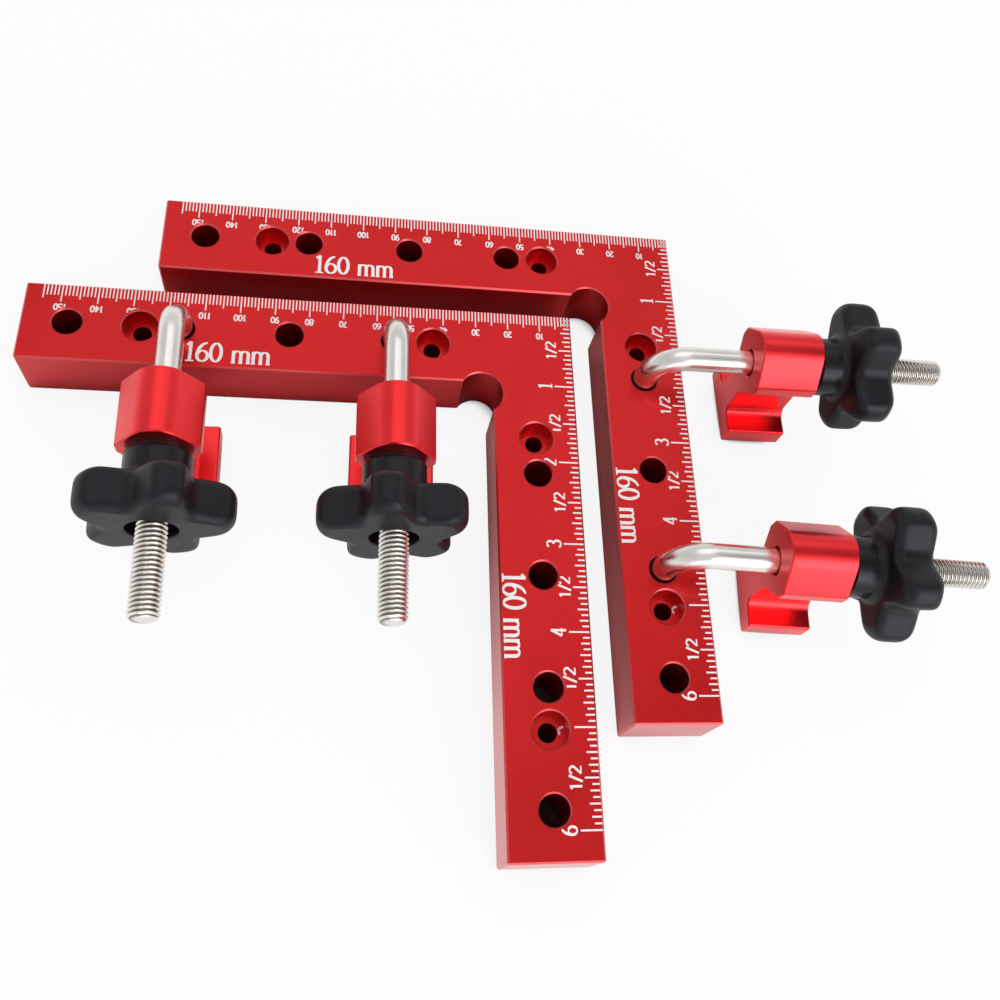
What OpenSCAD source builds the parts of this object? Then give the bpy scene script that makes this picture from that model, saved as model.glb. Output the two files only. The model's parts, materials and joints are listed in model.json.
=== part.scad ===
// Corner clamp set: two drilled L-squares and four hook clamps.
// The origin is on the underside of the front square, where its two hole lines cross.

/* [Square] */
// Length of each arm, measured along its outer edge
arm_length = 160; // [156:1:220]
// Width of each arm
arm_width = 25; // [22:0.5:32]
// Thickness of the square
square_thickness = 18; // [16:0.5:20]
// Chamfer on the outer edges of the square
edge_chamfer = 0.5; // [0.2:0.1:0.8]
// Chamfer on the rims of the holes
rim_chamfer = 0.4; // [0.2:0.1:0.6]
// Diameter of the relief bore at the inner corner
relief_d = 13; // [8:0.5:16]
// How far the relief bore's centre lies off the inner corner, along each arm
relief_offset = 3.5; // [1:0.5:5]

/* [Holes] */
// Diameter of the plain holes that take a hook
hook_hole_d = 8.2; // [7.8:0.1:8.6]
// Distance of the first plain hole from the outer corner
hook_hole_first = 54.5; // [53:0.5:60]
// Distance between plain holes
hook_hole_pitch = 31; // [30:0.5:31.5]
// Number of plain holes in each arm
hook_hole_count = 4; // [3:1:4]
// Diameter of the screw holes
screw_hole_d = 5.2; // [4:0.1:6]
// Diameter of the counterbore for a screw head
counterbore_d = 10; // [8:0.5:11]
// Depth of the counterbore
counterbore_depth = 5; // [3:0.5:8]
// Distance of the first screw hole from the outer corner
screw_hole_first = 43; // [41:0.5:43.5]
// Distance between the two screw holes of an arm
screw_hole_pitch = 84.6; // [84:0.1:86]

/* [Layout] */
// How far the back square lies from the front one, to the right and behind
back_offset = [35, 33.5]; // [30:0.5:80]
// Turn of each hook from square to its arm, in degrees
hook_swivel = [1.4, 0, 0, -2.9]; // [-4:0.1:4]
// Distance from each hook's hole to its jaw's face
jaw_reach = [27.2, 27.8, 29, 27.8]; // [26:0.1:32]
// Turn of each knob about its rod, in degrees
knob_turn = [54, 9, 2, 41]; // [0:1:71]

/* [Hook rod] */
// Outside diameter of the thread
thread_d = 8; // [6:0.5:8]
// Diameter of the plain shank
shank_d = 7.2; // [5:0.1:7.6]
// Height of the rod's axis above the square
rod_height = 13; // [13:0.5:18]
// Radius of the bend along the rod's centre line
bend_radius = 10.5; // [6:0.5:12]
// Distance from the hook's hole to the rod's tip
rod_reach = 91; // [90:1:120]
// Distance from the hook's hole to the start of the thread
thread_start = 36; // [30:1:37]
// Chamfer at both ends of the rod
rod_chamfer = 1; // [0.4:0.1:1.5]
// Height of the hook's lower end above the bench
hook_foot_gap = 0.3; // [0.1:0.1:2]

/* [Jaw] */
// Length of the jaw along the rod
jaw_length = 19; // [16:0.5:22]
// Height of the ridge above the rod's axis
ridge_height = 12.5; // [12:0.1:14]
// Half width across the eaves
eave_half = 10.8; // [10:0.1:12]
// Height of the roof's lower edges above the rod's axis
eave_height = 3.2; // [2.4:0.1:4]
// Height of the upright eaves
eave_band = 3.6; // [2:0.2:4.4]
// Half width of the waist
waist_half = 4.5; // [3.5:0.1:6]
// Depth of the top of the waist below the rod's axis
waist_top = 10; // [8:0.5:13]
// Depth of the foot's shelf below the rod's axis
shelf_depth = 21.8; // [20:0.1:24]
// Half width of the foot
foot_half = 12.3; // [10:0.1:12.6]
// Depth of the foot's underside below the rod's axis
foot_depth = 28.7; // [27:0.1:28.8]
// Radius along the ridge
ridge_radius = 7; // [4:0.5:8]
// Radius along the eaves
eave_radius = 1.5; // [0.8:0.1:2]
// Radius where the waist meets the foot and the roof
waist_radius = 3; // [1:0.5:4]
// Radius on the edges of the foot
foot_radius = 0.8; // [0.4:0.1:1.2]

/* [Washer] */
// Outside diameter of the thrust washer
washer_d = 16; // [13:0.5:17]
// Thickness of the thrust washer
washer_thickness = 1.2; // [0.8:0.1:2]

/* [Knob] */
// Number of lobes
lobe_count = 5; // [4:1:6]
// Radius to the tip of a lobe
knob_radius = 21; // [19:0.5:21]
// Radius of a lobe's rounded end
lobe_radius = 4.6; // [4:0.1:6]
// Angle between a lobe's flank and its middle line
lobe_taper = 24; // [20:1:32]
// Radius of the hollow between two lobes
hollow_radius = 4.6; // [4:0.1:6]
// Thickness of the lobes
head_thickness = 12; // [10:0.5:14]
// Rounding of the lobes' ends
lobe_edge_radius = 4.5; // [1:0.5:4.5]
// Bevel along the edges of the hollows
hollow_bevel = 1; // [0.5:0.1:2]
// Diameter of the collar that faces the jaw
collar_d = 17.5; // [17:0.5:20]
// Length of the collar
collar_length = 8.4; // [6:0.1:9]
// Radius of the fillet between the collar and the lobes
collar_fillet = 2.5; // [1:0.1:3]
// Depth of the insert below the knob's front face
insert_recess = 5.5; // [3:0.5:6]

/* [Insert] */
// Outside diameter of the threaded insert
insert_d = 13; // [11:0.5:13.5]
// Length of the threaded insert
insert_length = 11; // [8:0.5:12]
// Depth of the groove that keys the insert into the knob
insert_groove_depth = 0.8; // [0.4:0.1:1.2]
// Width of that groove
insert_groove_width = 4; // [2:0.5:5]

/* [Clearances] */
// Radial clearance of the jaw, the washer and the insert on the thread
slide_gap = 0.08; // [0.02:0.01:0.1]
// Gap between faces that turn against each other
thrust_gap = 0.05; // [0.02:0.01:0.1]
// Gap around the insert in the knob
mould_gap = 0.02; // [0.01:0.01:0.05]

/* [Hidden] */
$fn = 64;
overlap = 1;
// How far a rounding crosses the faces it joins, so that they meet at a clear edge
rounding_margin = 0.002;
// How far the turned rounding of the knob stands outside its lobes
turning_margin = 0.2;
// How far the collar's fillet runs into the head
fillet_sink = 0.05;
hole_line = arm_width / 2;
rod_axis = square_thickness + rod_height;
slide_d = thread_d + 2 * slide_gap;
inner_corner = hole_line - arm_width;
hook_holes = [for (i = [0:hook_hole_count - 1]) hook_hole_first + i * hook_hole_pitch];
screw_holes = [for (i = [0:1]) screw_hole_first + i * screw_hole_pitch];
lobe_pitch = 360 / lobe_count;
// Where the flanks of one lobe would meet, and where those of two neighbours do
lobe_corner = knob_radius - lobe_radius + lobe_radius / sin(lobe_taper);
hollow_corner = lobe_corner * sin(lobe_taper) / sin(lobe_taper + lobe_pitch / 2);
knob_length = collar_length + head_thickness;

red_anodise = [0.76, 0.09, 0.11];
bright_steel = [0.78, 0.77, 0.74];
black_plastic = [0.07, 0.07, 0.08];
zinc_steel = [0.62, 0.6, 0.52];

// Each clamp: its name, which square carries it, the arm's heading and the hole's number in that arm
clamps = [
    ["front_left", [0, 0], -90, 2],
    ["front_right", [0, 0], -90, 0],
    ["side_far", back_offset, 0, 0],
    ["side_near", back_offset, 0, 2]
];

function unit(v) = v / norm(v);

// An outline with every corner rounded: points run anticlockwise, and each is [x, y, radius].
// Outer corners gain a circle and inner ones lose one, both tangent to the two edges there.
module rounded_outline(corners) {
    count = len(corners);
    point = [for (c = corners) [c[0], c[1]]];
    back = [for (i = [0:count - 1]) unit(point[(i + count - 1) % count] - point[i])];
    ahead = [for (i = [0:count - 1]) unit(point[(i + 1) % count] - point[i])];
    half_angle = [for (i = [0:count - 1]) acos(back[i] * ahead[i]) / 2];
    setback = [for (i = [0:count - 1]) corners[i][2] / tan(half_angle[i])];
    centre = [for (i = [0:count - 1])
        point[i] + unit(back[i] + ahead[i]) * corners[i][2] / sin(half_angle[i])];
    outer = [for (i = [0:count - 1]) cross(-back[i], ahead[i]) > 0];
    difference() {
        union() {
            polygon([for (i = [0:count - 1]) for (way = [back[i], ahead[i]]) point[i] + way * setback[i]]);
            for (i = [0:count - 1])
                if (outer[i])
                    translate(centre[i]) circle(r = corners[i][2] + rounding_margin);
        }
        for (i = [0:count - 1])
            if (!outer[i])
                translate(centre[i]) circle(r = corners[i][2] + rounding_margin);
    }
}

// A rectangle with its four corners cut off at 45 degrees
module chamfered_rectangle(width, depth, cut) {
    polygon([
        [cut, 0], [width - cut, 0], [width, cut], [width, depth - cut],
        [width - cut, depth], [cut, depth], [0, depth - cut], [0, cut]
    ]);
}

// A bar along +X with every edge chamfered
module chamfered_bar(length, width, thickness, cut) {
    intersection() {
        linear_extrude(thickness) chamfered_rectangle(length, width, cut);
        translate([0, width, 0]) rotate([90, 0, 0])
            linear_extrude(width) chamfered_rectangle(length, thickness, cut);
        rotate([90, 0, 90])
            linear_extrude(length) chamfered_rectangle(width, thickness, cut);
    }
}

// A chamfer at the rim of a hole, with its wide end on the plane z = 0 and its narrow end below
module rim(diameter) {
    translate([0, 0, -rim_chamfer])
        cylinder(d1 = diameter, d2 = diameter + 2 * rim_chamfer + 2 * overlap, h = rim_chamfer + overlap);
}

// A hole right through the square, with both rims chamfered
module through_hole(diameter) {
    translate([0, 0, -overlap]) cylinder(d = diameter, h = square_thickness + 2 * overlap);
    translate([0, 0, square_thickness]) rim(diameter);
    mirror([0, 0, 1]) rim(diameter);
}

// A screw hole with a counterbore from above
module screw_hole() {
    translate([0, 0, -overlap]) cylinder(d = screw_hole_d, h = square_thickness);
    translate([0, 0, square_thickness - counterbore_depth])
        cylinder(d = counterbore_d, h = counterbore_depth + overlap);
    translate([0, 0, square_thickness]) rim(counterbore_d);
}

// The holes of one arm, which runs from the outer corner along -X
module arm_holes() {
    for (distance = hook_holes) translate([hole_line - distance, 0, 0]) through_hole(hook_hole_d);
    for (distance = screw_holes) translate([hole_line - distance, 0, 0]) screw_hole();
}

// One square, with its hole lines crossing at the origin
module square_body() {
    color(red_anodise)
        difference() {
            union() {
                translate([hole_line - arm_length, -hole_line, 0])
                    chamfered_bar(arm_length, arm_width, square_thickness, edge_chamfer);
                translate([-hole_line, hole_line - arm_length, 0])
                    mirror([1, -1, 0])
                    chamfered_bar(arm_length, arm_width, square_thickness, edge_chamfer);
            }
            arm_holes();
            mirror([1, -1, 0]) arm_holes();
            translate([inner_corner - relief_offset, inner_corner - relief_offset, 0])
                through_hole(relief_d);
        }
}

module front_square() {
    square_body();
}

module back_square() {
    translate(back_offset) square_body();
}

// Puts a clamp's piece in its place: the rod's axis runs along +X from the hook's hole
module on_clamp(i) {
    heading = clamps[i][2];
    distance = hole_line - hook_holes[clamps[i][3]];
    along_arm = heading == 0 ? [0, distance] : [distance, 0];
    translate(clamps[i][1]) translate(along_arm) translate([0, 0, rod_axis])
        rotate([0, 0, heading + hook_swivel[i]])
        children();
}

// A cylinder along +X from one distance to another
module rod_section(diameter, from, to) {
    translate([from, 0, 0]) rotate([0, 90, 0]) cylinder(d = diameter, h = to - from);
}

// A cone along +X from one distance and diameter to another
module rod_cone(from_d, to_d, from, to) {
    translate([from, 0, 0]) rotate([0, 90, 0]) cylinder(d1 = from_d, d2 = to_d, h = to - from);
}

// The bent rod: a leg down into the square, the bend, the shank and the threaded end
module hook() {
    leg_end = hook_foot_gap - rod_axis;
    color(bright_steel) {
        translate([0, 0, leg_end]) cylinder(d1 = shank_d - 2 * rod_chamfer, d2 = shank_d, h = rod_chamfer);
        translate([0, 0, leg_end + rod_chamfer])
            cylinder(d = shank_d, h = -bend_radius - leg_end - rod_chamfer);
        translate([bend_radius, 0, -bend_radius]) rotate([90, 0, 0]) rotate([0, 0, 90])
            rotate_extrude(angle = 90) translate([bend_radius, 0]) circle(d = shank_d);
        rod_section(shank_d, bend_radius, thread_start);
        rod_section(thread_d, thread_start, rod_reach - rod_chamfer);
        rod_cone(thread_d, thread_d - 2 * rod_chamfer, rod_reach - rod_chamfer, rod_reach);
    }
}

// The jaw's cross-section, seen along the rod with the rod's axis at the origin
module jaw_profile() {
    right = [
        [foot_half, -foot_depth, foot_radius],
        [foot_half, -shelf_depth, foot_radius],
        [waist_half, -shelf_depth, waist_radius],
        [waist_half, -waist_top, waist_radius],
        [eave_half, eave_height - eave_band, eave_radius],
        [eave_half, eave_height, eave_radius]
    ];
    left = [for (i = [len(right) - 1:-1:0]) [-right[i][0], right[i][1], right[i][2]]];
    // Each side of the roof runs from the eave's corner along a line tangent to the ridge's arc
    arc_centre = ridge_height - ridge_radius;
    drop = eave_height - arc_centre;
    roof_normal = atan2(drop, eave_half) + acos(ridge_radius / norm([eave_half, drop]));
    ridge_corner = arc_centre + ridge_radius / sin(roof_normal);
    rounded_outline(concat(right, [[0, ridge_corner, ridge_radius]], left));
}

// The sliding jaw, drilled for the rod
module jaw(reach) {
    color(red_anodise)
        difference() {
            translate([reach, 0, 0]) rotate([90, 0, 90]) linear_extrude(jaw_length) jaw_profile();
            rod_section(slide_d, reach - overlap, reach + jaw_length + overlap);
            translate([reach, 0, 0]) rotate([0, -90, 0]) rim(slide_d);
            translate([reach + jaw_length, 0, 0]) rotate([0, 90, 0]) rim(slide_d);
        }
}

// The flat ring between the jaw and the knob's collar
module washer(reach) {
    from = reach + jaw_length + thrust_gap;
    color(bright_steel)
        difference() {
            rod_section(washer_d, from, from + washer_thickness);
            rod_section(slide_d, from - overlap, from + washer_thickness + overlap);
        }
}

// Distance from the hook's hole to the collar's face
function knob_start(reach) = reach + jaw_length + washer_thickness + 2 * thrust_gap;

// The turned outline of a disc with rounded edges, standing on y = 0
module rounded_disc_profile(radius, thickness, edge) {
    difference() {
        union() {
            square([radius - edge, thickness]);
            translate([0, edge]) square([radius, thickness - 2 * edge]);
            for (y = [edge, thickness - edge]) translate([radius - edge, y]) circle(r = edge);
        }
        translate([-2 * edge, -overlap]) square([2 * edge, thickness + 2 * overlap]);
    }
}

// The lobes' outline, with one lobe towards +X
module lobe_outline() {
    rounded_outline([for (i = [0:2 * lobe_count - 1])
        let (angle = i * lobe_pitch / 2, lobe = i % 2 == 0, r = lobe ? lobe_corner : hollow_corner)
        [r * cos(angle), r * sin(angle), lobe ? lobe_radius : hollow_radius]]);
}

// The cone that bevels a hollow's edge, on the plane z = 0 with the material above it
module bevel_cutter() {
    hollow_centre = hollow_corner + hollow_radius / sin(lobe_taper + lobe_pitch / 2);
    wide = hollow_radius + hollow_bevel + overlap;
    narrow = hollow_radius - overlap;
    translate([hollow_centre, 0, -overlap]) cylinder(r1 = wide, r2 = narrow, h = wide - narrow);
}

// The lobed head, standing on z = 0: the outline, turned to round its lobes' ends and bevelled in its hollows
module knob_head() {
    difference() {
        intersection() {
            linear_extrude(head_thickness) lobe_outline();
            rotate_extrude()
                rounded_disc_profile(knob_radius + turning_margin, head_thickness, lobe_edge_radius);
        }
        for (i = [0:lobe_count - 1])
            rotate([0, 0, (i + 0.5) * lobe_pitch]) {
                bevel_cutter();
                translate([0, 0, head_thickness]) mirror([0, 0, 1]) bevel_cutter();
            }
    }
}

// The turned collar with the fillet that leads into the head, whose rear face is z = 0
module collar() {
    radius = collar_d / 2;
    fillet_start = fillet_sink - collar_fillet;
    rotate_extrude()
        difference() {
            translate([0, -collar_length]) square([radius + collar_fillet, collar_length + overlap]);
            translate([radius, -collar_length - overlap])
                square([collar_fillet + overlap, collar_length + overlap + fillet_start]);
            translate([radius + collar_fillet, fillet_start]) circle(r = collar_fillet);
        }
}

// The insert's outer form, along +X from its front face back to its rear face
module insert_form(front, gap) {
    rear = front - insert_length;
    groove_start = rear + (insert_length - insert_groove_width) / 2;
    groove_end = groove_start + insert_groove_width;
    rod_section(insert_d + 2 * gap, rear, groove_start + gap);
    rod_section(insert_d - 2 * insert_groove_depth + 2 * gap, rear, front);
    rod_section(insert_d + 2 * gap, groove_end - gap, front);
}

// The star knob, hollow for the insert and open in front of it
module knob(reach, turn) {
    start = knob_start(reach);
    front = start + knob_length;
    insert_front = front - insert_recess;
    color(black_plastic)
        difference() {
            translate([start + collar_length, 0, 0]) rotate([turn, 0, 0]) rotate([0, 90, 0])
                rotate([0, 0, 180]) {
                    collar();
                    knob_head();
                }
            insert_form(insert_front, mould_gap);
            rod_section(insert_d + 2 * mould_gap, insert_front - overlap, front + overlap);
            rod_section(slide_d, start - overlap, insert_front);
        }
}

// The bush inside the knob that carries the thread
module insert(reach) {
    front = knob_start(reach) + knob_length - insert_recess;
    color(zinc_steel)
        difference() {
            insert_form(front, 0);
            rod_section(slide_d, front - insert_length - overlap, front + overlap);
        }
}

front_square();
back_square();
for (i = [0:len(clamps) - 1]) {
    name = clamps[i][0];
    on_clamp(i) hook();
    on_clamp(i) jaw(jaw_reach[i]);
    on_clamp(i) washer(jaw_reach[i]);
    on_clamp(i) knob(jaw_reach[i], knob_turn[i]);
    on_clamp(i) insert(jaw_reach[i]);
}
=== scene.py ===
import json
import math

import bmesh
import bpy
import numpy as np
from mathutils import Matrix, Vector
from mathutils.geometry import tessellate_polygon


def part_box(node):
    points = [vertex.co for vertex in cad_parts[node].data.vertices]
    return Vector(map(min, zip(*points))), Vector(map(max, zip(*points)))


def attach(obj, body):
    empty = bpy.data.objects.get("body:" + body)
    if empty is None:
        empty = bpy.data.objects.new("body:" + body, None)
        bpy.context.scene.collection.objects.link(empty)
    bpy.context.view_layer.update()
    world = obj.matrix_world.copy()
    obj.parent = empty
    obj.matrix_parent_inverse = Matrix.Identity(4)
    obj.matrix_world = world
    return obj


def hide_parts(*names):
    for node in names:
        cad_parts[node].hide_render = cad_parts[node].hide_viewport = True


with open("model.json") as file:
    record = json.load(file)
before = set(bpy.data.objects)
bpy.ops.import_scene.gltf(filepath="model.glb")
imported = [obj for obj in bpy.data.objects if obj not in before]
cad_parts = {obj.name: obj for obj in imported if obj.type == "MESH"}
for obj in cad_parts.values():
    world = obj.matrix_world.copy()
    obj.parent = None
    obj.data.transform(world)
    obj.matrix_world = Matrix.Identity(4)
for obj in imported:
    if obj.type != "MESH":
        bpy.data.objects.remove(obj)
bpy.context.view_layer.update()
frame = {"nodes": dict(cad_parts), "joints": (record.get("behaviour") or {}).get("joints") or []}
scene = bpy.context.scene
joints = {joint["name"]: joint for joint in frame["joints"]}
mm = 0.001
print("frame loaded:", len(frame["nodes"]), "CAD nodes")


# shared tools: nodes, meshes and the clamps' own axes

# a node with its settings; a value that is a socket is linked, any other is set
def addNode(tree, kind, values=None, **settings):
    node = tree.nodes.new(kind)
    for key, value in settings.items():
        setattr(node, key, value)
    for socket, value in (values or {}).items():
        if isinstance(value, bpy.types.NodeSocket):
            tree.links.new(value, node.inputs[socket])
        else:
            node.inputs[socket].default_value = value
    return node


# one range of values carried over to another and held within it
def mapped(tree, value, source, target=(0.0, 1.0)):
    return addNode(tree, "ShaderNodeMapRange", {
        "Value": value, "From Min": source[0], "From Max": source[1],
        "To Min": target[0], "To Max": target[1],
    }).outputs[0]


def maths(tree, operation, *values):
    return addNode(tree, "ShaderNodeMath", dict(enumerate(values)), operation=operation).outputs[0]


# two colours mixed by a share; these are the colour sockets of a Mix node
def mixedColour(tree, share, first, second):
    values = {0: share, 6: first, 7: second}
    return addNode(tree, "ShaderNodeMix", values, data_type="RGBA").outputs[2]


# quads between neighbouring points of a rows x cols grid; a wrap joins the last to the first
def gridQuads(rows, cols, wrapRows=False, wrapCols=False):
    i, j = np.meshgrid(
        np.arange(rows if wrapRows else rows - 1),
        np.arange(cols if wrapCols else cols - 1),
        indexing="ij",
    )
    iNext, jNext = (i + 1) % rows, (j + 1) % cols
    corners = [(i, j), (i, jNext), (iNext, jNext), (iNext, j)]
    return np.stack([a * cols + b for a, b in corners], -1).reshape(-1, 4)


# six times the volume inside a shell: the sum of a . (b x c) over its triangles
def shellVolume(points, faces):
    total = 0.0
    for block in faces:
        for k in range(1, block.shape[1] - 1):
            a, b, c = points[block[:, 0]], points[block[:, k]], points[block[:, k + 1]]
            total += np.einsum("ij,ij->", a, np.cross(b, c))
    return total


# a piece from points in mm and blocks of faces; a shell that comes out inside out is turned, a
# value for each point is kept for the material, and points within the weld distance are joined
def makePiece(
    name, points, faces, body, material, crease, replaced=None, shade=None, weld=None,
):
    points = np.asarray(points, float).reshape(-1, 3)
    if shellVolume(points, faces) < 0:
        faces = [block[:, ::-1] for block in faces]
    mesh = bpy.data.meshes.new(name)
    mesh.from_pydata(points * mm, [], [row for block in faces for row in block.tolist()])
    if shade is not None:
        mesh.attributes.new("shade", "FLOAT", "POINT").data.foreach_set("value", shade)
    if weld:
        work = bmesh.new()
        work.from_mesh(mesh)
        bmesh.ops.remove_doubles(work, verts=work.verts, dist=weld * mm)
        work.to_mesh(mesh)
        work.free()
    mesh.validate()
    mesh.shade_smooth()
    mesh.set_sharp_from_angle(angle=math.radians(crease))
    mesh.materials.append(material)
    piece = bpy.data.objects.new(name, mesh)
    scene.collection.objects.link(piece)
    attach(piece, body)
    if replaced:
        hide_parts(replaced)
    return piece


# where a clamp stands: its hook hole at the rod's height, and unit vectors along, beside and above
def clampAxes(name):
    spin = joints["knob_spin_" + name]
    along = np.array(spin["axis"], float)
    along /= np.linalg.norm(along)
    up = np.array([0.0, 0.0, 1.0])
    start = np.array(spin["pos_m"], float) / mm
    return {"start": start, "along": along, "side": np.cross(up, along), "up": up}


# points of the frame, in mm, from distances along, beside and above a clamp's rod
def fromClamp(axes, along, side, up):
    along, side, up = np.broadcast_arrays(along, side, up)
    return (
        axes["start"]
        + along[..., None] * axes["along"]
        + side[..., None] * axes["side"]
        + up[..., None] * axes["up"]
    )


# how far a CAD node reaches along a clamp's rod, nearest and farthest, in mm
def reachOf(axes, node):
    mesh = frame["nodes"][node].data
    flat = np.empty(len(mesh.vertices) * 3, np.float32)
    mesh.vertices.foreach_get("co", flat)
    reach = (flat.reshape(-1, 3) / mm - axes["start"]) @ axes["along"]
    return float(reach.min()), float(reach.max())


# finishes

grainLook = {
    "fineDetail": 3.0, "fineRoughness": 0.6, "cloudDetail": 4.0, "cloudRoughness": 0.55,
    "clouds": (0.3, 0.7),
}
# the normal on a slanting edge: z neither low nor high, and x or y not low
edgeLook = {"slope": (0.35, 0.6), "level": (0.8, 0.95), "sideways": (0.2, 0.4)}


# two layers of noise on Object coordinates: a fine grain and slow clouds
def makeGrainGroup():
    group = bpy.data.node_groups.new("surfaceGrain", "ShaderNodeTree")
    for name in ("Fine Scale", "Cloud Scale"):
        group.interface.new_socket(name, in_out="INPUT", socket_type="NodeSocketFloat")
    for name in ("Grain", "Clouds"):
        group.interface.new_socket(name, in_out="OUTPUT", socket_type="NodeSocketFloat")
    entry = group.nodes.new("NodeGroupInput")
    place = addNode(group, "ShaderNodeTexCoord").outputs["Object"]
    fine = addNode(group, "ShaderNodeTexNoise", {
        "Vector": place, "Scale": entry.outputs["Fine Scale"],
        "Detail": grainLook["fineDetail"], "Roughness": grainLook["fineRoughness"],
    })
    cloud = addNode(group, "ShaderNodeTexNoise", {
        "Vector": place, "Scale": entry.outputs["Cloud Scale"],
        "Detail": grainLook["cloudDetail"], "Roughness": grainLook["cloudRoughness"],
    })
    addNode(group, "NodeGroupOutput", {"Grain": fine.outputs["Fac"], "Clouds": cloud.outputs["Fac"]})
    return group


# a mask that is 1 on slanting edges, where no part of the normal comes near 1; it places a painted
# highlight on the chamfers
def makeEdgeGroup():
    group = bpy.data.node_groups.new("chamferHighlightMask", "ShaderNodeTree")
    group.interface.new_socket("Strength", in_out="INPUT", socket_type="NodeSocketFloat")
    group.interface.new_socket("Mask", in_out="OUTPUT", socket_type="NodeSocketFloat")
    entry = group.nodes.new("NodeGroupInput")
    normal = addNode(group, "ShaderNodeNewGeometry").outputs["True Normal"]
    size = addNode(group, "ShaderNodeVectorMath", {0: normal}, operation="ABSOLUTE")
    parts = addNode(group, "ShaderNodeSeparateXYZ", {0: size.outputs[0]}).outputs
    slope = mapped(group, parts["Z"], edgeLook["slope"])
    level = mapped(group, parts["Z"], edgeLook["level"], (1.0, 0.0))
    sideways = mapped(group, maths(group, "MAXIMUM", parts["X"], parts["Y"]), edgeLook["sideways"])
    edge = maths(group, "MULTIPLY", maths(group, "MULTIPLY", slope, level), sideways)
    mask = maths(group, "MULTIPLY", edge, entry.outputs["Strength"])
    addNode(group, "NodeGroupOutput", {"Mask": mask})
    return group


grainGroup = makeGrainGroup()
chamferHighlightGroup = makeEdgeGroup()


# a Principled finish whose colour and gloss drift with the clouds and whose bump takes the grain;
# chamfers may take a painted highlight, and the piece's own values paint shade into a thread's groove
# or polish a part of it
def makeFinish(look):
    material = bpy.data.materials.new(look["name"])
    material.use_nodes = True
    tree = material.node_tree
    shader = tree.nodes["Principled BSDF"]
    grain = addNode(tree, "ShaderNodeGroup", {}, node_tree=grainGroup)
    grain.inputs["Fine Scale"].default_value = look["fineScale"]
    grain.inputs["Cloud Scale"].default_value = look["cloudScale"]
    ramp = addNode(tree, "ShaderNodeValToRGB", {"Fac": grain.outputs["Clouds"]})
    for stop, at, shade in zip(ramp.color_ramp.elements, grainLook["clouds"], ("dark", "light")):
        stop.position, stop.color = at, look[shade] + (1.0,)
    tint = ramp.outputs["Color"]
    rough = mapped(tree, grain.outputs["Clouds"], grainLook["clouds"], look["rough"])
    # a painted highlight: the chamfers are tinted a lighter pink
    if "edge" in look:
        mask = addNode(tree, "ShaderNodeGroup", {}, node_tree=chamferHighlightGroup)
        mask.inputs["Strength"].default_value = look["edgeStrength"]
        tint = mixedColour(tree, mask.outputs["Mask"], tint, look["edge"] + (1.0,))
    # painted shade: a thread's groove is darkened towards its root
    if "groove" in look:
        depth = addNode(tree, "ShaderNodeAttribute", attribute_name="shade").outputs["Fac"]
        grooveShade = mapped(tree, depth, look["grooveFrom"], (0.0, look["grooveStrength"]))
        tint = mixedColour(tree, grooveShade, tint, look["groove"] + (1.0,))
    if "polished" in look:
        rubbed = addNode(tree, "ShaderNodeAttribute", attribute_name="shade").outputs["Fac"]
        values = {0: rubbed, 2: rough, 3: look["polished"]}
        rough = addNode(tree, "ShaderNodeMix", values).outputs[0]
    tree.links.new(tint, shader.inputs["Base Color"])
    tree.links.new(rough, shader.inputs["Roughness"])
    bump = addNode(tree, "ShaderNodeBump", {
        "Strength": look["bump"], "Distance": look["bumpDepth"] * mm, "Height": grain.outputs["Grain"],
    })
    tree.links.new(bump.outputs[0], shader.inputs["Normal"])
    for socket, key, usual in (
        ("Metallic", "metallic", 0.0), ("Specular IOR Level", "specular", 0.5),
        ("Coat Weight", "coat", 0.0), ("Coat Roughness", "coatRough", 0.1),
        ("Coat IOR", "coatIor", 1.5),
    ):
        shader.inputs[socket].default_value = look.get(key, usual)
    shader.inputs["Specular Tint"].default_value = look.get("glint", (1.0, 1.0, 1.0)) + (1.0,)
    return material


# the edge colour is a painted highlight, laid on the chamfers
squareLook = {
    "name": "redAnodisedPlate", "dark": (0.57, 0.009, 0.011), "light": (0.66, 0.014, 0.016),
    "edge": (0.80, 0.20, 0.21), "edgeStrength": 0.4, "metallic": 0.92, "rough": (0.36, 0.44),
    "fineScale": 5200.0, "cloudScale": 42.0, "bump": 0.08, "bumpDepth": 0.05,
    "coat": 0.65, "coatRough": 0.14, "coatIor": 1.25,
}
jawLook = {
    "name": "redAnodisedJaw", "dark": (0.84, 0.015, 0.021), "light": (0.92, 0.022, 0.030),
    "metallic": 0.92, "rough": (0.27, 0.34), "fineScale": 4200.0, "cloudScale": 60.0,
    "bump": 0.07, "bumpDepth": 0.05, "coat": 0.6, "coatRough": 0.24, "coatIor": 1.4,
}
# the groove colour is painted shade, laid in the thread's roots
rodLook = {
    "name": "brightNickel", "dark": (0.77, 0.74, 0.70), "light": (0.87, 0.845, 0.815),
    "groove": (0.20, 0.155, 0.11), "grooveStrength": 0.9, "grooveFrom": (0.5, 0.95),
    "metallic": 1.0, "rough": (0.22, 0.29), "fineScale": 3000.0, "cloudScale": 90.0,
    "bump": 0.05, "bumpDepth": 0.03,
}
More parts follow.
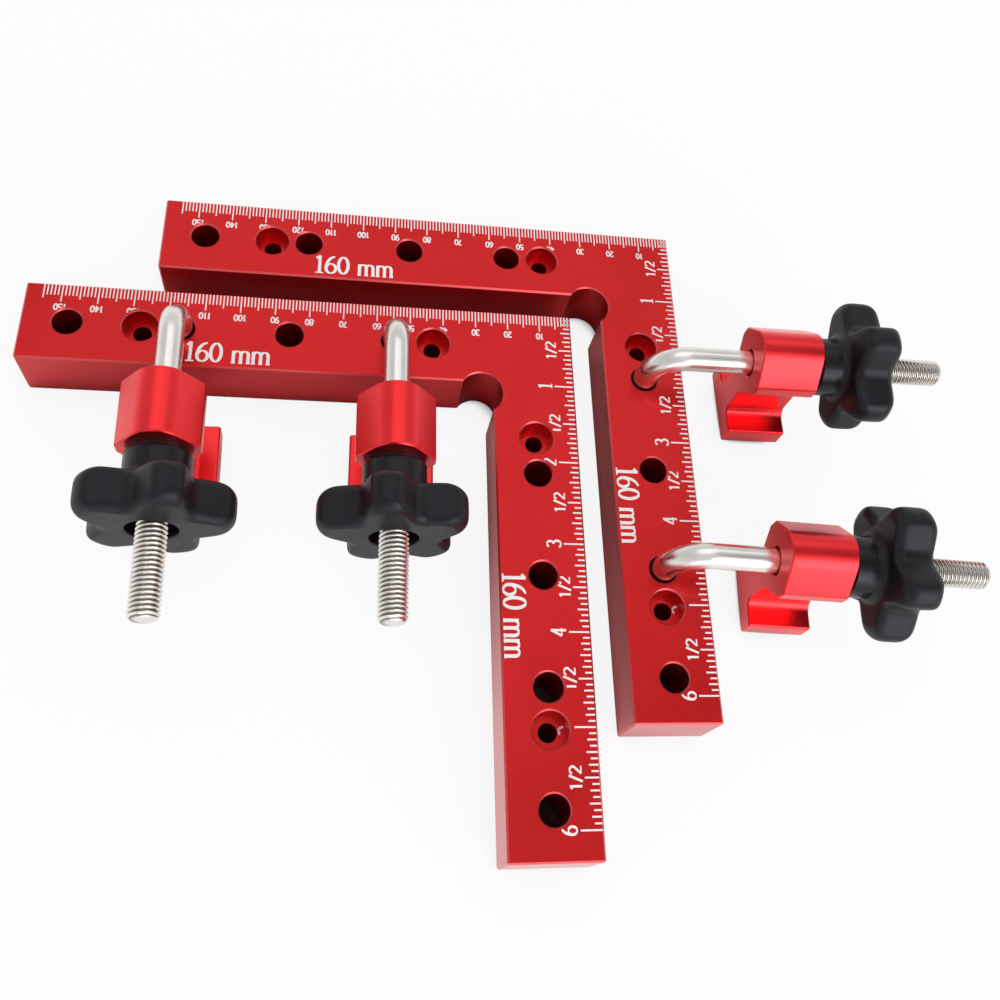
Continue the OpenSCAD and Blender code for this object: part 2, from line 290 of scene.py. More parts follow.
# the washers are coloured near black as painted shade: they stand in for the dark gap between jaw and
# knob collar
washerLook = {
    "name": "blackedWasher", "dark": (0.030, 0.030, 0.032), "light": (0.055, 0.055, 0.058),
    "metallic": 0.9, "rough": (0.34, 0.46), "fineScale": 2600.0, "cloudScale": 300.0,
    "bump": 0.1, "bumpDepth": 0.04,
}
insertLook = {
    "name": "blackedInsert", "dark": (0.06, 0.06, 0.065), "light": (0.11, 0.11, 0.115),
    "metallic": 0.9, "rough": (0.35, 0.5), "fineScale": 2600.0, "cloudScale": 300.0,
    "bump": 0.1, "bumpDepth": 0.04,
}
knobLook = {
    "name": "blackMoulded", "dark": (0.005, 0.005, 0.0065), "light": (0.009, 0.009, 0.011),
    "metallic": 0.0, "rough": (0.36, 0.47), "fineScale": 1500.0, "cloudScale": 70.0,
    "bump": 0.12, "bumpDepth": 0.06, "specular": 0.29, "glint": (0.9, 0.9, 1.0), "polished": 0.27,
}
inkLook = {
    "name": "whiteInk", "dark": (0.92, 0.88, 0.88), "light": (0.97, 0.94, 0.94),
    "metallic": 0.0, "rough": (0.5, 0.65), "fineScale": 5000.0, "cloudScale": 250.0,
    "bump": 0.1, "bumpDepth": 0.02,
}
plateRed, jawRed, nickel, washerShadeFinish, blackedSteel, plastic, ink = [
    makeFinish(look)
    for look in (squareLook, jawLook, rodLook, washerLook, insertLook, knobLook, inkLook)
]
# the nodes that stay; the others are replaced further down
for name, node in frame["nodes"].items():
    finish = plateRed if "square" in name else washerShadeFinish if "washer" in name else blackedSteel
    node.data.materials.clear()
    node.data.materials.append(finish)
print("finishes made:", len(bpy.data.materials))


# hook rods: a bent rod with a rolled thread

rod = {
    "shankRadius": 3.6, "crestRadius": 3.98, "rootRadius": 3.36, "pitch": 1.25,
    "bendRadius": 10.5, "threadStart": 36.0, "runIn": 2.2, "chamfer": 1.0, "footGap": 0.3,
    "around": 48, "perPitch": 14, "bendSteps": 30, "plainSteps": 8, "weld": 0.0005,
    "crestFlat": 0.14, "rootFlat": 0.14,
}


# a circle carried up a leg, round a quarter bend and along the rod; on the thread its radius
# swings between root and crest once for each pitch along it, and the rows slant with the helix, so
# the first and last columns meet one pitch apart and are welded
def hookPiece(name):
    axes = clampAxes(name)
    tip = reachOf(axes, "hook_" + name)[1]
    bend, chamfer, start, pitch = (rod[k] for k in ("bendRadius", "chamfer", "threadStart", "pitch"))
    foot = rod["footGap"] - axes["start"][2]
    legUp = np.array([foot, foot + chamfer, foot + 2 * chamfer, (foot - bend) / 2, -bend])
    turn = np.linspace(0, math.pi / 2, rod["bendSteps"])[1:]
    plain = np.linspace(bend, start, rod["plainSteps"])[1:-1]
    step = pitch / rod["perPitch"]
    threaded = np.arange(start, tip + pitch + step, step)
    straight = np.concatenate([plain, threaded])
    along = np.concatenate([0 * legUp, bend - bend * np.cos(turn), straight])[:, None]
    up = np.concatenate([legUp, bend * np.sin(turn) - bend, 0 * straight])[:, None]
    tilt = np.concatenate([0 * legUp, turn, 0 * straight + math.pi / 2])[:, None]
    part = np.arange(rod["around"] + 1) / rod["around"]
    angle = part * 2 * math.pi
    along = np.where(along >= start, np.clip(along - pitch * part, start, tip), along + 0 * part)

    phase = np.mod(along / pitch + part, 1)
    wave = (np.abs(2 * phase - 1) - rod["rootFlat"]) / (1 - rod["rootFlat"] - rod["crestFlat"])
    screw = rod["rootRadius"] + (rod["crestRadius"] - rod["rootRadius"]) * np.clip(wave, 0, 1)
    fade = np.clip((along - start) / rod["runIn"], 0, 1)
    radius = rod["shankRadius"] + (screw - rod["shankRadius"]) * fade * fade * (3 - 2 * fade)
    toTip = rod["crestRadius"] - chamfer + (tip - along)
    toFoot = rod["shankRadius"] - chamfer + (up - foot)
    radius = np.minimum(radius, np.minimum(toTip, toFoot))

    outer = radius * np.cos(angle)
    points = fromClamp(
        axes, along - outer * np.cos(tilt), radius * np.sin(angle), up + outer * np.sin(tilt)
    )
    rows, cols = radius.shape
    ends = fromClamp(axes, np.array([0.0, tip]), 0.0, np.array([foot, 0.0]))
    ring = np.arange(cols - 1)
    fanStart = np.stack([ring, 0 * ring + rows * cols, ring + 1], -1)
    fanEnd = np.stack([ring, ring + 1, 0 * ring + rows * cols + 1], -1)
    fanEnd[:, :2] += (rows - 1) * cols
    faces = [gridQuads(rows, cols), fanStart, fanEnd]
    points = np.concatenate([points.reshape(-1, 3), ends])
    # how deep each point lies in the thread, which sets the painted shade in the grooves
    depth = np.append(((1 - np.clip(wave, 0, 1)) * fade).ravel(), [0.0, 0.0])
    return makePiece(
        "hook_rod_" + name, points, faces, "hook_" + name, nickel,
        crease=40, replaced="hook_" + name, shade=depth, weld=rod["weld"],
    )


# star knobs: tangent lobes and hollows on a turned disc, with a collar behind

star = {
    "lobes": 5, "radius": 21.0, "lobeRadius": 4.6, "hollowRadius": 4.6, "taper": 24.0,
    "headThickness": 12.0, "endRounding": 4.9, "edgeRounding": 3.0, "blend": 1.0,
    "collarRadius": 8.75, "collarLength": 8.4, "collarFillet": 2.5, "collarEdge": 0.5,
    "recessRadius": 6.52, "pocketDepth": 16.4, "boreRadius": 4.08, "rimEdge": 0.5,
    "discMargin": 0.2, "around": 400, "flankSteps": 44, "arcSteps": 9, "faceSteps": 5,
}
# the turn of each knob about its rod, in degrees from a lobe straight up
knobTurns = {"front_left": 54, "front_right": 9, "side_far": 2, "side_near": 41}


# the star's radius at an angle: a lobe's arc, a straight flank, then a hollow's arc, all tangent
def starRadius(angle):
    pitch = 2 * math.pi / star["lobes"]
    taper = math.radians(star["taper"])
    lobe, hollow = star["lobeRadius"], star["hollowRadius"]
    fold = np.abs(np.mod(angle + pitch / 2, pitch) - pitch / 2)
    centre = star["radius"] - lobe
    corner = centre + lobe / math.sin(taper)
    inner = corner * math.sin(taper) / math.sin(taper + pitch / 2)
    hollowCentre = inner + hollow / math.sin(taper + pitch / 2)
    lobeEnd = math.atan2(lobe * math.cos(taper), centre + lobe * math.sin(taper))
    hollowStart = math.atan2(
        hollowCentre * math.sin(pitch / 2) - hollow * math.cos(taper),
        hollowCentre * math.cos(pitch / 2) - hollow * math.sin(taper),
    )
    onLobe = centre * np.cos(fold) + np.sqrt(np.maximum(lobe**2 - (centre * np.sin(fold))**2, 0))
    onFlank = corner * math.sin(taper) / np.sin(taper + fold)
    rest = pitch / 2 - fold
    onHollow = hollowCentre * np.cos(rest) - np.sqrt(
        np.maximum(hollow**2 - (hollowCentre * np.sin(rest))**2, 0)
    )
    return np.select([fold < lobeEnd, fold < hollowStart], [onLobe, onFlank], onHollow)


# how far a rounded edge stands in at a depth below the face: a quarter circle's sagitta
def roundingInset(depth, radius):
    rise = np.clip(radius - depth, 0, radius)
    return radius - np.sqrt(radius**2 - rise**2)


# rings of points from the collar's bore out over collar, star and face and back down the recess;
# on the star each ring's radius is a soft least of the rounded outline and the turned disc
def knobPiece(name):
    axes = clampAxes(name)
    back = reachOf(axes, "knob_" + name)[0]
    angle = np.arange(star["around"]) / star["around"] * 2 * math.pi
    collar, fillet, edge = star["collarRadius"], star["collarFillet"], star["collarEdge"]
    quarter = np.linspace(0, math.pi / 2, star["arcSteps"])
    across = np.linspace(0, 1, star["faceSteps"])[1:, None]

    ringDepth, ringRadius = [], []

    def addRings(depths, radii):
        depths = np.atleast_1d(depths).astype(float)
        ringDepth.append(depths)
        ringRadius.append(np.broadcast_to(np.asarray(radii, float), (len(depths), len(angle))))

    addRings([0, 0], [[star["boreRadius"]], [collar - edge]])
    addRings(edge - edge * np.cos(quarter[1:]), (collar - edge + edge * np.sin(quarter[1:]))[:, None])
    neck = star["collarLength"] - fillet
    addRings(neck + fillet * np.sin(quarter), (collar + fillet - fillet * np.cos(quarter))[:, None])
    slope = (1 - np.cos(np.linspace(0, math.pi, star["flankSteps"]))) / 2
    depth = slope * star["headThickness"]
    inward = np.minimum(depth, star["headThickness"] - depth)[:, None]
    outline = starRadius(angle) - roundingInset(inward, star["edgeRounding"])
    disc = star["radius"] + star["discMargin"] - roundingInset(inward, star["endRounding"])
    soft = star["blend"]
    flank = np.minimum(outline, disc) - soft * np.log1p(np.exp(-np.abs(outline - disc) / soft))
    ringAt = star["collarLength"] + depth
    wall = collar + fillet
    inner = np.full(len(across) - 1, star["collarLength"])
    addRings(inner, wall + (flank[0] - wall) * across[:-1])
    addRings(ringAt, flank)
    faceAt = star["collarLength"] + star["headThickness"]
    rim = star["recessRadius"] + star["rimEdge"]
    addRings(np.full(len(across), faceAt), flank[-1] + (rim - flank[-1]) * across)
    lip = star["rimEdge"]
    addRings(faceAt - lip + lip * np.cos(quarter[1:]), (rim - lip * np.sin(quarter[1:]))[:, None])
    pocket = faceAt - star["pocketDepth"]
    addRings([pocket, pocket], [[star["recessRadius"]], [star["boreRadius"]]])

    radius = np.concatenate(ringRadius)
    depth = np.concatenate(ringDepth)[:, None]
    onCollar = np.broadcast_to(depth <= neck, radius.shape)
    turned = angle + math.radians(knobTurns[name])
    points = fromClamp(axes, back + depth, -radius * np.sin(turned), radius * np.cos(turned))
    faces = [gridQuads(*radius.shape, wrapRows=True, wrapCols=True)]
    return makePiece(
        "star_knob_" + name, points, faces, "knob_" + name, plastic,
        crease=38, replaced="knob_" + name, shade=onCollar.astype(np.float32).ravel(),
    )


# V jaws: an extruded section with its ends eased

jaw = {
    "ridgeHeight": 12.5, "eaveHalf": 10.8, "eaveHeight": 3.2, "eaveBand": 3.6, "waistHalf": 4.5,
    "waistTop": -10.0, "shelfDepth": -21.8, "footHalf": 12.3, "footDepth": -28.7,
    "ridgeRadius": 7.0, "eaveRadius": 1.5, "waistRadius": 3.0, "footRadius": 0.8,
    "endEase": 0.35, "boreRadius": 4.08, "boreRim": 0.4, "arcSteps": 11, "boreSteps": 48,
}


# each corner of an outline swapped for an arc tangent to its two sides
def roundedOutline(corners, radii, steps):
    corners = np.asarray(corners, float)
    before = np.roll(corners, 1, 0) - corners
    after = np.roll(corners, -1, 0) - corners
    before /= np.linalg.norm(before, axis=1)[:, None]
    after /= np.linalg.norm(after, axis=1)[:, None]
    half = np.arccos(np.clip((before * after).sum(1), -1, 1)) / 2
    radii = np.asarray(radii, float)
    toCentre = before + after
    toCentre /= np.linalg.norm(toCentre, axis=1)[:, None]
    centre = corners + toCentre * (radii / np.sin(half))[:, None]
    first = corners + before * (radii / np.tan(half))[:, None] - centre
    last = corners + after * (radii / np.tan(half))[:, None] - centre
    start = np.arctan2(first[:, 1], first[:, 0])
    sweep = np.arctan2(last[:, 1], last[:, 0]) - start
    sweep = np.mod(sweep + math.pi, 2 * math.pi) - math.pi
    angle = start[:, None] + sweep[:, None] * np.linspace(0, 1, steps)
    ring = np.stack([np.cos(angle), np.sin(angle)], -1) * radii[:, None, None]
    normal = np.stack([np.cos(angle), np.sin(angle)], -1) * np.sign(sweep)[:, None, None]
    return (centre[:, None] + ring).reshape(-1, 2), normal.reshape(-1, 2)


# faces turned so that each one's normal points the way that is given for it
def facedTo(points, block, towards):
    a, b, c = (points[block[:, k]] for k in range(3))
    wrong = (np.cross(b - a, c - a) * towards).sum(1) < 0
    return np.where(wrong[:, None], block[:, ::-1], block)


# one section carried along the rod and drawn in at both ends, with a round bore through it
def jawPiece(name):
    axes = clampAxes(name)
    near, far = reachOf(axes, "jaw_" + name)
    right = [
        (jaw["footHalf"], jaw["footDepth"], jaw["footRadius"]),
        (jaw["footHalf"], jaw["shelfDepth"], jaw["footRadius"]),
        (jaw["waistHalf"], jaw["shelfDepth"], jaw["waistRadius"]),
        (jaw["waistHalf"], jaw["waistTop"], jaw["waistRadius"]),
        (jaw["eaveHalf"], jaw["eaveHeight"] - jaw["eaveBand"], jaw["eaveRadius"]),
        (jaw["eaveHalf"], jaw["eaveHeight"], jaw["eaveRadius"]),
    ]
    left = [(-x, y, r) for x, y, r in right[::-1]]
    arcCentre = jaw["ridgeHeight"] - jaw["ridgeRadius"]
    drop = jaw["eaveHeight"] - arcCentre
    slope = math.acos(jaw["ridgeRadius"] / math.hypot(jaw["eaveHalf"], drop))
    slope += math.atan2(drop, jaw["eaveHalf"])
    ridge = arcCentre + jaw["ridgeRadius"] / math.sin(slope)
    corners = np.array(right + [(0.0, ridge, jaw["ridgeRadius"])] + left)
    section, normal = roundedOutline(corners[:, :2], corners[:, 2], jaw["arcSteps"])
    ease, rim = jaw["endEase"], jaw["boreRim"]

    along = np.array([near, near + ease, far - ease, far])[:, None]
    drawn = np.array([ease, 0, 0, ease])[:, None, None]
    outer = section - normal * drawn
    skin = fromClamp(axes, along, outer[..., 0], outer[..., 1])
    angle = np.arange(jaw["boreSteps"]) / jaw["boreSteps"] * 2 * math.pi
    deep = np.array([near, near + rim, far - rim, far])[:, None]
    wide = jaw["boreRadius"] + np.array([rim, 0, 0, rim])[:, None]
    bore = fromClamp(axes, deep, wide * np.cos(angle), wide * np.sin(angle))
    points = np.concatenate([skin.reshape(-1, 3), bore.reshape(-1, 3)])

    rows, cols, holes = len(along), len(section), len(angle)
    base = rows * cols
    out = axes["side"] * normal[:, :1] + axes["up"] * normal[:, 1:]
    sides = gridQuads(rows, cols, wrapCols=True)
    inside = gridQuads(rows, holes, wrapCols=True) + base
    inwards = -(np.cos(angle)[:, None] * axes["side"] + np.sin(angle)[:, None] * axes["up"])
    faces = [
        facedTo(points, sides, out[sides[:, 0] % cols]),
        facedTo(points, inside, inwards[(inside[:, 0] - base) % holes]),
    ]
    for row, way in ((0, -1), (rows - 1, 1)):
        ring = np.concatenate([row * cols + np.arange(cols), base + row * holes + np.arange(holes)])
        flat = [Vector((x, y, 0)) for x, y in outer[row]]
        hole = [Vector((wide[row, 0] * math.cos(a), wide[row, 0] * math.sin(a), 0)) for a in angle]
        cap = ring[np.array(tessellate_polygon([flat, hole]))]
        faces.append(facedTo(points, cap, way * axes["along"]))
    return makePiece(
        "v_jaw_" + name, points, faces, "jaw_" + name, jawRed,
        crease=28, replaced="jaw_" + name,
    )


clampNames = list(knobTurns)
for name in clampNames:
    hookPiece(name)
    jawPiece(name)
    knobPiece(name)
print("hook rods, V jaws and star knobs made:", len(clampNames), "of each")


# rule marks on the squares: millimetres on one arm, inches on the other

marks = {
    "stand": 0.03, "sink": 0.02, "edge": 0.5, "stagger": 0.004, "layers": 6, "shortest": 3,
    "mmEvery": 10, "mmLast": 150, "inch": 25.4, "perInch": 16, "halfInches": 12, "serifsBelow": 0.6,
    "mmTicks": 155, "mmLengths": (3.9, 5.0, 6.1), "mmWidth": 0.36,
    "inchTicks": 96, "inchLengths": (2.4, 3.0, 3.4, 4.3, 6.2), "inchWidth": 0.46,
    "mmLabel": {"height": 2.1, "stretch": 1.0, "line": 6.9, "weight": 0.42, "thin": 0.85},
    "inchLabel": {"height": 4.2, "stretch": 1.0, "line": 7.0, "weight": 0.66, "thin": 0.5},
    "halfLabel": {"height": 3.2, "stretch": 1.3, "line": 5.1, "weight": 0.6, "thin": 0.6},
    "sizeLabel": {"height": 6.5, "stretch": 1.0, "weight": 0.95, "thin": 0.45},
    "sizeOnLong": (114.6, 23.4), "sizeOnShort": (84.8, 24.1), "sizeText": "160 mm",
    "hookHoles": (54.5, 85.5, 116.5, 147.5), "hookRadius": 4.1,
    "screwHoles": (43.0, 127.6), "boreRadius": 5.0, "boreDepth": 5.0, "screwRadius": 2.6,
    "rim": 0.4, "half": 12.5, "perStroke": 36,
}


# points of a straight stroke, or of an arc given by its centre, two radii and two angles
def straight(x0, y0, x1, y1):
    t = np.linspace(0, 1, marks["perStroke"])[:, None]
    return np.array([x0, y0]) * (1 - t) + np.array([x1, y1]) * t


def arc(x, y, rx, ry, start, end):
    a = np.radians(np.linspace(start, end, marks["perStroke"]))
    return np.stack([x + rx * np.cos(a), y + ry * np.sin(a)], -1)


# each figure's width and strokes, on a box one high; serifs belong to the thick and thin ones only
sixStrokes = [arc(0.5, 0.3, 0.44, 0.67, 95, 180), arc(0.285, 0.29, 0.225, 0.265, 0, 360)]
figures = {
    "0": (0.60, [arc(0.30, 0.5, 0.225, 0.465, 0, 360)]),
    "1": (0.50, [straight(0.26, 0, 0.26, 1), straight(0.10, 0.83, 0.27, 0.97)]),
    "2": (0.58, [
        arc(0.28, 0.715, 0.215, 0.255, 165, -40), straight(0.445, 0.555, 0.07, 0.035),
        straight(0.06, 0.04, 0.52, 0.04),
    ]),
    "3": (0.56, [arc(0.26, 0.745, 0.2, 0.225, 155, -90), arc(0.26, 0.265, 0.235, 0.25, 90, -155)]),
    "4": (0.60, [
        straight(0.41, 1, 0.41, 0), straight(0.41, 0.98, 0.05, 0.3), straight(0.04, 0.29, 0.55, 0.29),
    ]),
    "5": (0.56, [
        straight(0.48, 0.96, 0.13, 0.96), straight(0.13, 0.97, 0.095, 0.5),
        arc(0.265, 0.31, 0.235, 0.28, 137, -150),
    ]),
    "6": (0.56, sixStrokes),
    "7": (0.56, [straight(0.05, 0.955, 0.52, 0.955), straight(0.51, 0.96, 0.22, 0)]),
    "8": (0.58, [arc(0.29, 0.745, 0.185, 0.22, 0, 360), arc(0.29, 0.27, 0.23, 0.255, 0, 360)]),
    "9": (0.56, [np.array([0.56, 1.0]) - stroke for stroke in sixStrokes]),
    "/": (0.44, [straight(0.04, -0.06, 0.40, 1.06)]),
    "m": (0.86, [
        straight(0.1, 0, 0.1, 0.64), straight(0.42, 0, 0.42, 0.44), straight(0.74, 0, 0.74, 0.44),
        arc(0.26, 0.44, 0.16, 0.18, 180, 0), arc(0.58, 0.44, 0.16, 0.18, 180, 0),
    ]),
    " ": (0.36, []),
}
serifs = {
    "1": [straight(0.08, 0.02, 0.44, 0.02)],
    "m": [straight(x - 0.09, 0.02, x + 0.09, 0.02) for x in (0.1, 0.42, 0.74)],
}


# a flat strip along a path, its half width w at each point, as a closed slab from floor to top
def ribbonSlab(path, w, floor, top):
    step = np.gradient(path, axis=0)
    step /= np.linalg.norm(step, axis=1)[:, None]
    aside = np.stack([-step[:, 1], step[:, 0]], -1) * w[:, None]
    rails = np.stack([path + aside, path - aside, path - aside, path + aside], 1)
    level = np.broadcast_to(np.array([floor, floor, top, top]), rails.shape[:2])
    points = np.concatenate([rails, level[..., None]], -1).reshape(-1, 3)
    last = len(points) - 4
    ends = np.array([[3, 2, 1, 0], [last, last + 1, last + 2, last + 3]])
    faces = np.concatenate([gridQuads(len(path), 4, wrapCols=True), ends])
    return points, faces if shellVolume(points, [faces]) > 0 else faces[:, ::-1]


# straight ticks as boxes: n positions, with each one's length and one width
def tickSlabs(place, length, width, arm, top):
    u = place[:, None] + np.array([-1, 1, 1, -1] * 2) * width / 2
    far = np.where(np.array([0, 0, 1, 1] * 2), length[:, None], marks["edge"])
    level = np.broadcast_to(
        top + np.array([-marks["sink"]] * 4 + [marks["stand"]] * 4), u.shape
    )
    x, y = (-u, -far) if arm == "long" else (-far, -u)
    points = np.stack([x, y, level], -1).reshape(-1, 3)
    box = np.array([
        [0, 3, 2, 1], [4, 5, 6, 7], [0, 1, 5, 4], [1, 2, 6, 5], [2, 3, 7, 6], [3, 0, 4, 7],
    ])
    if shellVolume(points[:8], [box]) < 0:
        box = box[:, ::-1]
    faces = (box + 8 * np.arange(len(place))[:, None, None]).reshape(-1, 4)
    return points, faces


# strokes of a text from a start point, read one way with the figures' tops another way
def textStrokes(text, style, start, read, rise, centred=False):
    height = style["height"]
    read = np.array(read) * style["stretch"]
    width = sum(figures[c][0] for c in text) * height
    pen = np.array(start, float) - (read * width / 2 if centred else 0)
    strokes = []
    for c in text:
        wide, paths = figures[c]
        extra = serifs.get(c, []) if style["thin"] < marks["serifsBelow"] else []
        for path in paths + extra:
            step = np.gradient(path, axis=0)
            steep = np.abs(step[:, 1]) / np.linalg.norm(step, axis=1)
            w = style["weight"] / 2 * (style["thin"] + (1 - style["thin"]) * steep)
            place = pen + height * (path[:, :1] * read + path[:, 1:] * np.array(rise))
            strokes.append((place, w))
        pen = pen + read * wide * height
    return strokes


# what lies under each point of a stroke: the face, a counterbore's floor, or a hole and its rim
onFace, onFloor, overHole = 0, 1, 2


def underStroke(path, w):
    state = np.full(len(path), onFace)
    for places, radius, counterbored in (
        (marks["hookHoles"], marks["hookRadius"], False),
        (marks["screwHoles"], marks["boreRadius"], True),
    ):
        for u in places:
            for centre in ((-u, -marks["half"]), (-marks["half"], -u)):
                gap = np.linalg.norm(path - np.array(centre), axis=1)
                state[gap < radius + marks["rim"] + w] = overHole
                if counterbored:
                    state[gap < radius - w] = onFloor
                    state[gap < marks["screwRadius"] + w] = overHole
    return state


# all marks of one square, worked out from its outer corner at the origin and then moved there
def scalePiece(square, name):
    high = np.array(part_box(square)[1]) / mm
    top = float(high[2])
    blocks = []
    k = np.arange(1, marks["mmTicks"] + 1)
    length = np.select([k % 10 == 0, k % 5 == 0], marks["mmLengths"][:0:-1], marks["mmLengths"][0])
    blocks.append(tickSlabs(k.astype(float), length, marks["mmWidth"], "long", top))
    n = np.arange(1, marks["inchTicks"] + 1)
    rank = [n % (marks["perInch"] // share) == 0 for share in (1, 2, 4, 8)]
    length = np.select(rank, marks["inchLengths"][:0:-1], marks["inchLengths"][0])
    at = n * marks["inch"] / marks["perInch"]
    blocks.append(tickSlabs(at, length, marks["inchWidth"], "short", top))

    strokes = []
    style = marks["mmLabel"]
    for u in range(marks["mmEvery"], marks["mmLast"] + 1, marks["mmEvery"]):
        strokes += textStrokes(str(u), style, (-u, -style["line"]), (-1, 0), (0, -1), centred=True)
    shallow = len(strokes)
    for u in range(1, marks["halfInches"] + 1):
        style, label = (marks["halfLabel"], "1/2") if u % 2 else (marks["inchLabel"], str(u // 2))
        start = (-style["line"], -u * marks["inch"] / 2)
        strokes += textStrokes(label, style, start, (0, 1), (-1, 0), centred=True)
    u, line = marks["sizeOnLong"]
    strokes += textStrokes(marks["sizeText"], marks["sizeLabel"], (-u, -line), (1, 0), (0, 1))
    u, line = marks["sizeOnShort"]
    strokes += textStrokes(marks["sizeText"], marks["sizeLabel"], (-line, -u), (0, -1), (1, 0))
    for i, (path, w) in enumerate(strokes):
        state = underStroke(path, w)
        runs = np.split(np.arange(len(path)), np.flatnonzero(np.diff(state)) + 1)
        for run in runs:
            below = state[run[0]]
            hidden = below == overHole or (below == onFloor and i < shallow)
            if hidden or len(run) < marks["shortest"]:
                continue
            face = top - marks["boreDepth"] if below == onFloor else top
            inkTop = face + marks["stand"] + marks["stagger"] * (i % marks["layers"])
            blocks.append(ribbonSlab(path[run], w[run], face - marks["sink"], inkTop))

    counts = np.cumsum([0] + [len(points) for points, faces in blocks])
    points = np.concatenate([points for points, faces in blocks])
    faces = np.concatenate([faces + first for (_, faces), first in zip(blocks, counts)])
    points[:, :2] += high[:2]
    return makePiece(name, points, [faces], square, ink, crease=40)


for square in ("front_square", "back_square"):
    scalePiece(square, square.replace("square", "rule_marks"))
print("rule marks made on both squares")


# camera, floor and light

camera = {
    "place": (-55.35, -162.35, 279.25), "aim": (-1.52, -29.39, 0.0), "roll": 22.11,
    "lens": 36.35, "sensor": 36.0, "shiftX": -0.0210, "shiftY": -0.0403, "near": 0.01, "far": 50.0,
}
eye = bpy.data.cameras.new("viewCamera")
eye.lens, eye.sensor_width, eye.sensor_fit = camera["lens"], camera["sensor"], "HORIZONTAL"
eye.shift_x, eye.shift_y = camera["shiftX"], camera["shiftY"]
eye.clip_start, eye.clip_end = camera["near"], camera["far"]
view = bpy.data.objects.new("viewCamera", eye)
place, aim = Vector(camera["place"]) * mm, Vector(camera["aim"]) * mm
facing = (aim - place).to_track_quat("-Z", "Y").to_matrix().to_4x4()
roll = Matrix.Rotation(math.radians(camera["roll"]), 4, "Z")
view.matrix_world = Matrix.Translation(place) @ facing @ roll
scene.collection.objects.link(view)
scene.camera = view

# reaches are in mm; a pair that ends in From is the range of openness, or of a cosine, it works over
studio = {
    "floorSize": 6.0, "floorWhite": 0.9, "floorGlow": 0.89, "reflectedGlow": 0.8,
    "nearby": 40.0, "nearbySamples": 8, "inHoles": 10.0, "inHolesSamples": 24,
    "inFront": (-50.0, -115.0),
    "glowFrom": (0.27, 0.42), "reflectedFrom": (0.55, 1.0), "inFrontFrom": (0.3, 0.45),
    "shadeFrom": (0.25, 0.8), "deepShade": (0.06, 0.04, 0.04), "backdrop": 0.975,
    "skyLevels": [(0.0, 1.0), (0.3, 0.72), (0.75, 0.62), (1.0, 0.74)],
    "dimWay": (0.447, 0.05, 0.89), "dimFrom": (0.93, 0.975), "dimLevel": 0.1,
    "lamps": [
        ("backSoftbox", (0.1, 0.5, 1.5), (1.6, 1.3), 3.6),
        ("frontStrip", (0.35, -1.3, 0.3), (1.6, 0.5), 3.6),
        ("sideSoftbox", (0.71, -1.02, 0.74), (0.9, 0.75), 7.0),
    ],
}
half = studio["floorSize"] / 2
floorCorners = [(-half, -half, 0), (half, -half, 0), (half, half, 0), (-half, half, 0)]
floorMesh = bpy.data.meshes.new("floor")
floorMesh.from_pydata(floorCorners, [], [(0, 1, 2, 3)])
floor = bpy.data.objects.new("floor", floorMesh)
scene.collection.objects.link(floor)
floorPaint = bpy.data.materials.new("paleFloor")
floorPaint.use_nodes = True
tree = floorPaint.node_tree
tree.nodes.clear()
rays = addNode(tree, "ShaderNodeLightPath").outputs
around, within = [
    addNode(tree, "ShaderNodeAmbientOcclusion", {
        "Distance": studio[reach] * mm,
    }, samples=studio[reach + "Samples"]).outputs["AO"]
    for reach in ("nearby", "inHoles")
]
# white to the eye, with painted shade down in the holes; in reflections the glow also falls off beside
# the part as painted shade, but less so in front of it
toEye = mapped(tree, within, studio["glowFrom"], (0.0, studio["floorGlow"]))
beside = mapped(tree, around, studio["reflectedFrom"], (0.0, studio["reflectedGlow"]))
floorPlace = addNode(tree, "ShaderNodeTexCoord").outputs["Object"]
forward = addNode(tree, "ShaderNodeSeparateXYZ", {0: floorPlace}).outputs["Y"]
inFront = mapped(tree, forward, [y * mm for y in studio["inFront"]])
inFront = mapped(tree, around, studio["inFrontFrom"], (0.0, inFront))
mirrored = maths(tree, "MAXIMUM", beside, inFront)
bounced = maths(tree, "MAXIMUM", rays["Is Glossy Ray"], rays["Is Transmission Ray"])
seen = maths(tree, "MULTIPLY", toEye, rays["Is Camera Ray"])
share = maths(tree, "MULTIPLY_ADD", mirrored, bounced, seen)
shading = addNode(tree, "ShaderNodeValToRGB", {"Fac": within})
tones = studio["deepShade"], (1, 1, 1)
for stop, at, tone in zip(shading.color_ramp.elements, studio["shadeFrom"], tones):
    stop.position, stop.color = at, [studio["floorWhite"] * part for part in tone] + [1]
matte = addNode(tree, "ShaderNodeBsdfDiffuse", {"Color": shading.outputs["Color"]})
glow = addNode(tree, "ShaderNodeEmission", {"Color": (1, 1, 1, 1), "Strength": 1.0})
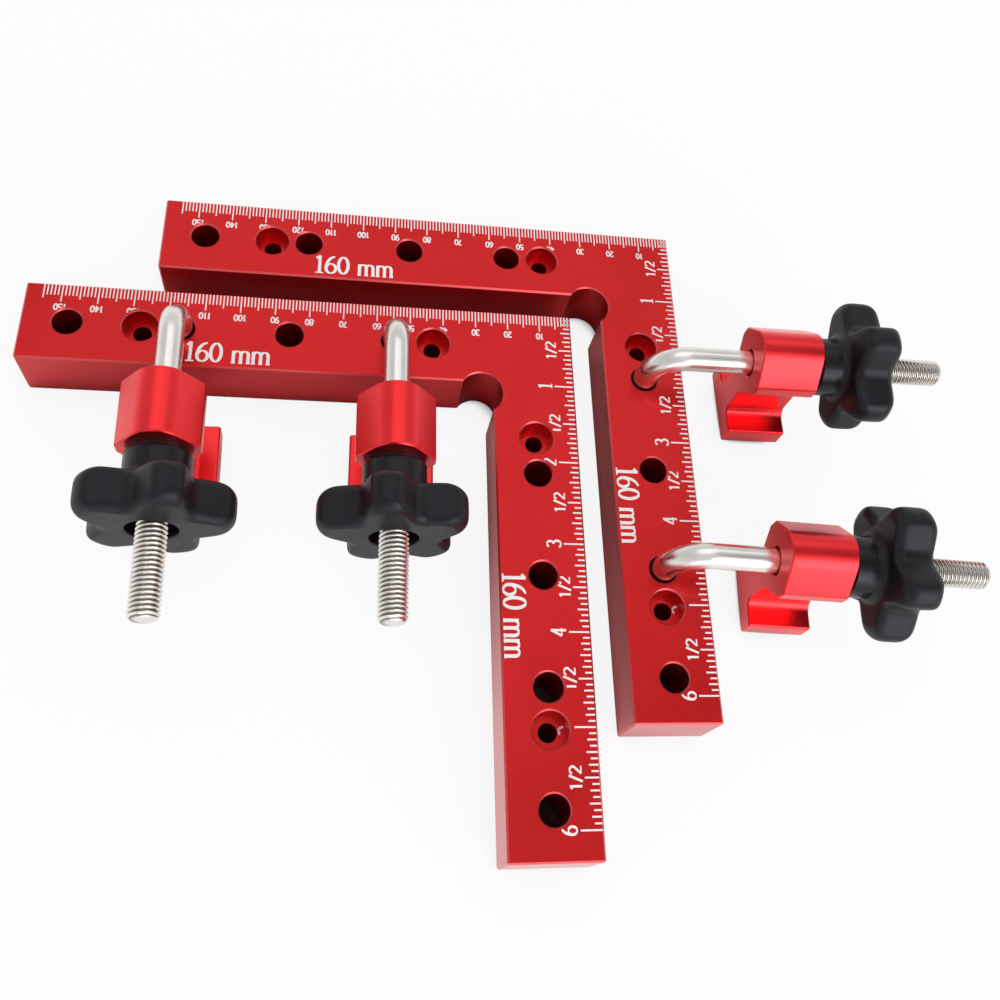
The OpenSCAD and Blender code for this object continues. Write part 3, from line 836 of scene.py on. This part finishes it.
layers = {0: share, 1: matte.outputs[0], 2: glow.outputs[0]}
painted = addNode(tree, "ShaderNodeMixShader", layers)
addNode(tree, "ShaderNodeOutputMaterial", {"Surface": painted.outputs[0]})
floorMesh.materials.append(floorPaint)

# a white room whose level changes with height, with one dimmer patch overhead; the eye sees a plain
# white backdrop
world = bpy.data.worlds.new("studioWorld")
scene.world = world
world.use_nodes = True
tree = world.node_tree
tree.nodes.clear()
heading = addNode(tree, "ShaderNodeTexCoord").outputs["Generated"]
height = addNode(tree, "ShaderNodeSeparateXYZ", {0: heading}).outputs["Z"]
ramp = addNode(tree, "ShaderNodeValToRGB", {"Fac": height})
for i, (at, level) in enumerate(studio["skyLevels"]):
    stop = ramp.color_ramp.elements[i] if i < 2 else ramp.color_ramp.elements.new(at)
    stop.position, stop.color = at, (level, level, level, 1)
towards = addNode(tree, "ShaderNodeVectorMath", {
    0: heading, 1: Vector(studio["dimWay"]).normalized(),
}, operation="DOT_PRODUCT")
dimmed = mapped(tree, towards.outputs["Value"], studio["dimFrom"], (1.0, studio["dimLevel"]))
sky = addNode(tree, "ShaderNodeBackground", {"Color": ramp.outputs["Color"], "Strength": dimmed})
backdrop = addNode(tree, "ShaderNodeBackground", {
    "Color": (1, 1, 1, 1), "Strength": studio["backdrop"],
})
toCamera = addNode(tree, "ShaderNodeLightPath").outputs["Is Camera Ray"]
layers = {0: toCamera, 1: sky.outputs[0], 2: backdrop.outputs[0]}
room = addNode(tree, "ShaderNodeMixShader", layers)
addNode(tree, "ShaderNodeOutputWorld", {"Surface": room.outputs[0]})
for name, spot, size, power in studio["lamps"]:
    lamp = bpy.data.lights.new(name, "AREA")
    lamp.shape, lamp.energy = "RECTANGLE", power
    lamp.size, lamp.size_y = size
    holder = bpy.data.objects.new(name, lamp)
    facing = (-Vector(spot)).to_track_quat("-Z", "Y").to_matrix().to_4x4()
    holder.matrix_world = Matrix.Translation(spot) @ facing
    scene.collection.objects.link(holder)
scene.view_settings.view_transform = "Standard"
print("camera, floor and lamps set")
